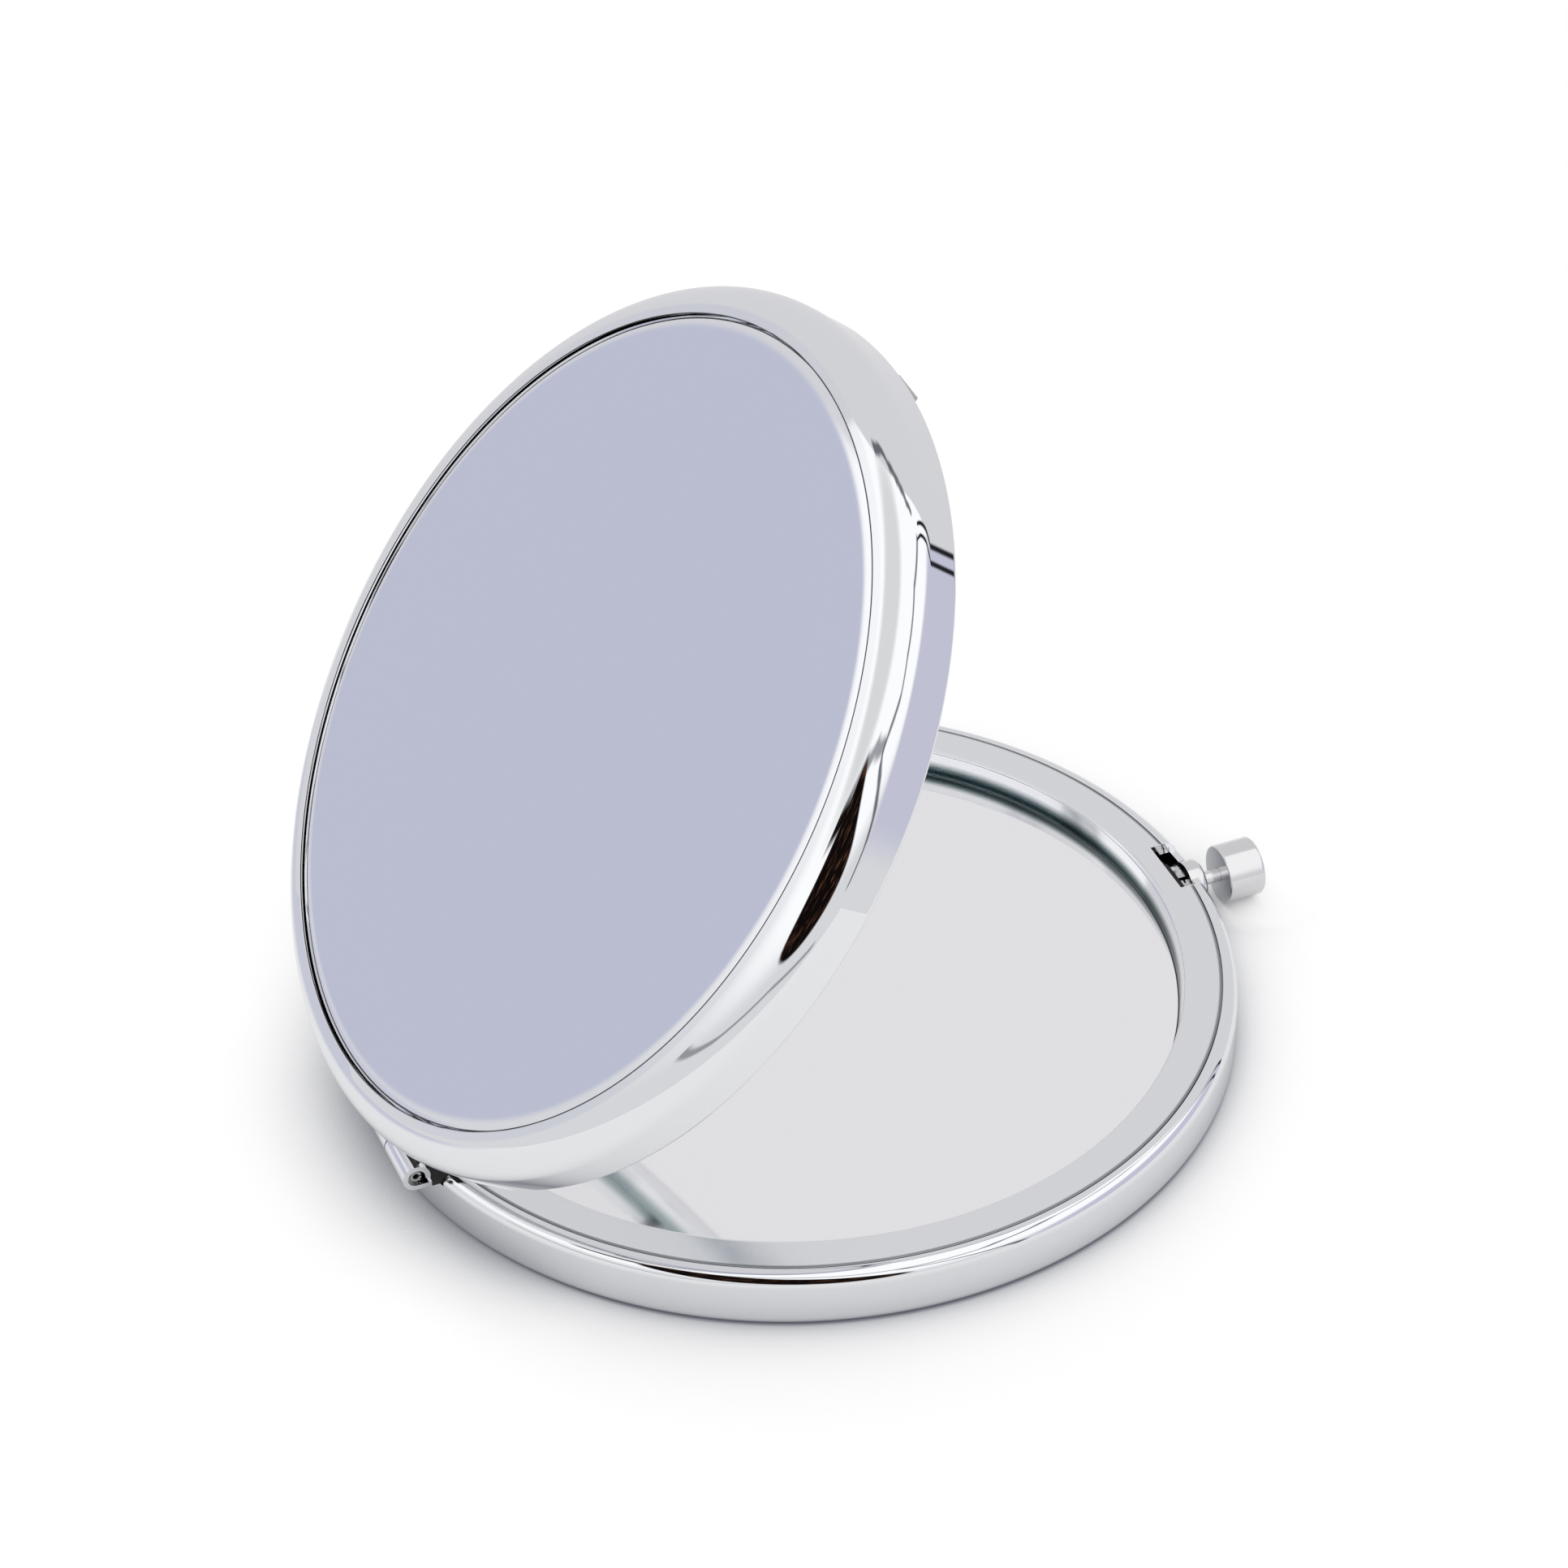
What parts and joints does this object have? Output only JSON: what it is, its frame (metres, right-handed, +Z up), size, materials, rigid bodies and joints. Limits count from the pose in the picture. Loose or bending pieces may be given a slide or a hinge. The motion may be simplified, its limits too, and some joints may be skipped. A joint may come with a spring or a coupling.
{
  "type": "compact mirror",
  "caption": "Round hinged pocket mirror case in polished chrome, standing open, with a flat and a magnifying mirror and a push-button latch.",
  "frame": {"origin": "centre of the base's flat underside", "axes": "+Z up out of the base, +X from the hinge towards the push button, +Y along the hinge axis"},
  "size_m": [0.0789, 0.07, 0.0616],
  "materials": {
    "case_chrome": "bright plated and polished",
    "face_plate": "polished",
    "mirror_glass": "silvered glass",
    "foam_pad": "closed-cell foam",
    "tape": "double-sided tape",
    "spring_steel": "drawn and plain",
    "dark_steel": "blackened",
    "turned_metal": "fine turned, satin"
  },
  "bodies": {
    "base": {"base_shell": "case_chrome", "base_frame": "case_chrome", "base_mirror": "mirror_glass", "base_mirror_pad": "foam_pad", "base_hinge_leaf": "case_chrome", "hinge_pin": "spring_steel", "latch_bush": "turned_metal", "latch_guide": "dark_steel", "latch_spring": "spring_steel"},
    "lid": {"lid_shell": "case_chrome", "lid_face_plate": "face_plate", "face_plate_tape": "tape", "lid_frame": "case_chrome", "lid_mirror": "mirror_glass", "lid_mirror_pad": "foam_pad", "lid_hinge_leaf": "case_chrome", "lid_catch_hook": "spring_steel"},
    "button": {"button_cap": "turned_metal", "button_stem": "turned_metal", "latch_bolt": "dark_steel"}
  },
  "joints": [
    {"name": "lid_hinge", "type": "hinge", "parent": "base", "child": "lid", "pos_m": [-0.0352, 0, 0.0049], "axis": [0, -1, 0], "range_deg": [-50.5, 129.5]},
    {"name": "button_press", "type": "slide", "parent": "base", "child": "button", "axis": [-1, 0, 0], "range_m": [0, 0.001], "stiffness_N_per_m": 1500, "springref_m": -0.0007, "deforming": ["latch_spring"]}
  ]
}
